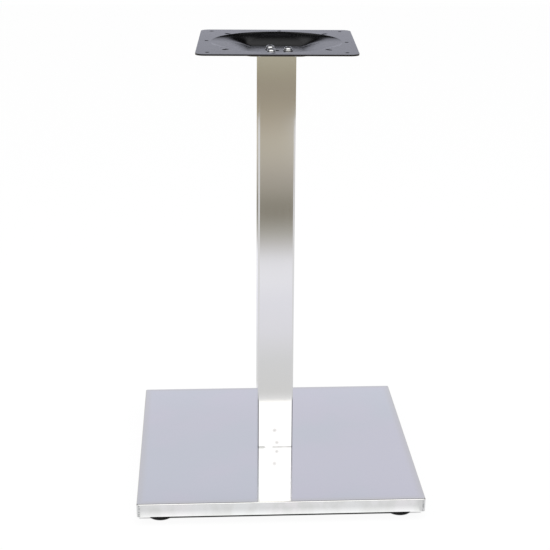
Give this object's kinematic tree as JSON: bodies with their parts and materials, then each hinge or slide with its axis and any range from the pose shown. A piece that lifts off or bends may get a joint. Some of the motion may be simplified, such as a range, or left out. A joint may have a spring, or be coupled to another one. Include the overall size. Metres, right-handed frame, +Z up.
{
  "type": "square dining table base",
  "caption": "Square dining table base: folded stainless cover on a steel weight plate, square column, pressed top plate for a table top, levelling feet.",
  "frame": {"origin": "centre of the square footprint, on the floor under the levelling pads", "axes": "+Z up along the column; the pictured front is -Y and +X is its right-hand side"},
  "size_m": [0.46, 0.46, 0.73],
  "materials": {
    "brushed_stainless": "fine brushed stainless sheet, near-mirror",
    "black_enamel": "satin black paint on pressed steel",
    "black_paint": "matt black primer on steel plate",
    "bare_steel": "plain mild steel",
    "zinc_plate": "bright zinc plate",
    "black_plastic": "moulded black nylon"
  },
  "bodies": {
    "base": {"base_cover": "brushed_stainless", "weight_plate": "black_paint", "column_tube": "brushed_stainless", "column_bottom_insert": "bare_steel", "column_top_insert": "bare_steel", "top_plate": "black_enamel", "top_washers": "zinc_plate", "top_screws": "zinc_plate", "base_washers": "zinc_plate", "base_bolts": "zinc_plate", "foot_nuts": "bare_steel"},
    "pad_front_left": {"foot_pad_front_left": "black_plastic"},
    "stud_front_left": {"foot_stud_front_left": "zinc_plate"},
    "pad_front_right": {"foot_pad_front_right": "black_plastic"},
    "stud_front_right": {"foot_stud_front_right": "zinc_plate"},
    "pad_back_left": {"foot_pad_back_left": "black_plastic"},
    "stud_back_left": {"foot_stud_back_left": "zinc_plate"},
    "pad_back_right": {"foot_pad_back_right": "black_plastic"},
    "stud_back_right": {"foot_stud_back_right": "zinc_plate"}
  },
  "joints": [
    {"name": "foot_lift_front_left", "type": "slide", "parent": "base", "child": "pad_front_left", "axis": [0, 0, -1], "range_m": [-0.006, 0.006]},
    {"name": "foot_turn_front_left", "type": "hinge", "parent": "pad_front_left", "child": "stud_front_left", "pos_m": [-0.193, -0.193, 0], "axis": [0, 0, -1], "range_deg": [-1725, 1725]},
    {"name": "foot_lift_front_right", "type": "slide", "parent": "base", "child": "pad_front_right", "axis": [0, 0, -1], "range_m": [-0.006, 0.006]},
    {"name": "foot_turn_front_right", "type": "hinge", "parent": "pad_front_right", "child": "stud_front_right", "pos_m": [0.193, -0.193, 0], "axis": [0, 0, -1], "range_deg": [-1725, 1725]},
    {"name": "foot_lift_back_left", "type": "slide", "parent": "base", "child": "pad_back_left", "axis": [0, 0, -1], "range_m": [-0.006, 0.006]},
    {"name": "foot_turn_back_left", "type": "hinge", "parent": "pad_back_left", "child": "stud_back_left", "pos_m": [-0.193, 0.193, 0], "axis": [0, 0, -1], "range_deg": [-1725, 1725]},
    {"name": "foot_lift_back_right", "type": "slide", "parent": "base", "child": "pad_back_right", "axis": [0, 0, -1], "range_m": [-0.006, 0.006]},
    {"name": "foot_turn_back_right", "type": "hinge", "parent": "pad_back_right", "child": "stud_back_right", "pos_m": [0.193, 0.193, 0], "axis": [0, 0, -1], "range_deg": [-1725, 1725]}
  ],
  "couplings": [
    {"joint": "foot_lift_front_left", "follows": "foot_turn_front_left", "m_per_rad": 0.00019894},
    {"joint": "foot_lift_front_right", "follows": "foot_turn_front_right", "m_per_rad": 0.00019894},
    {"joint": "foot_lift_back_left", "follows": "foot_turn_back_left", "m_per_rad": 0.00019894},
    {"joint": "foot_lift_back_right", "follows": "foot_turn_back_right", "m_per_rad": 0.00019894}
  ]
}
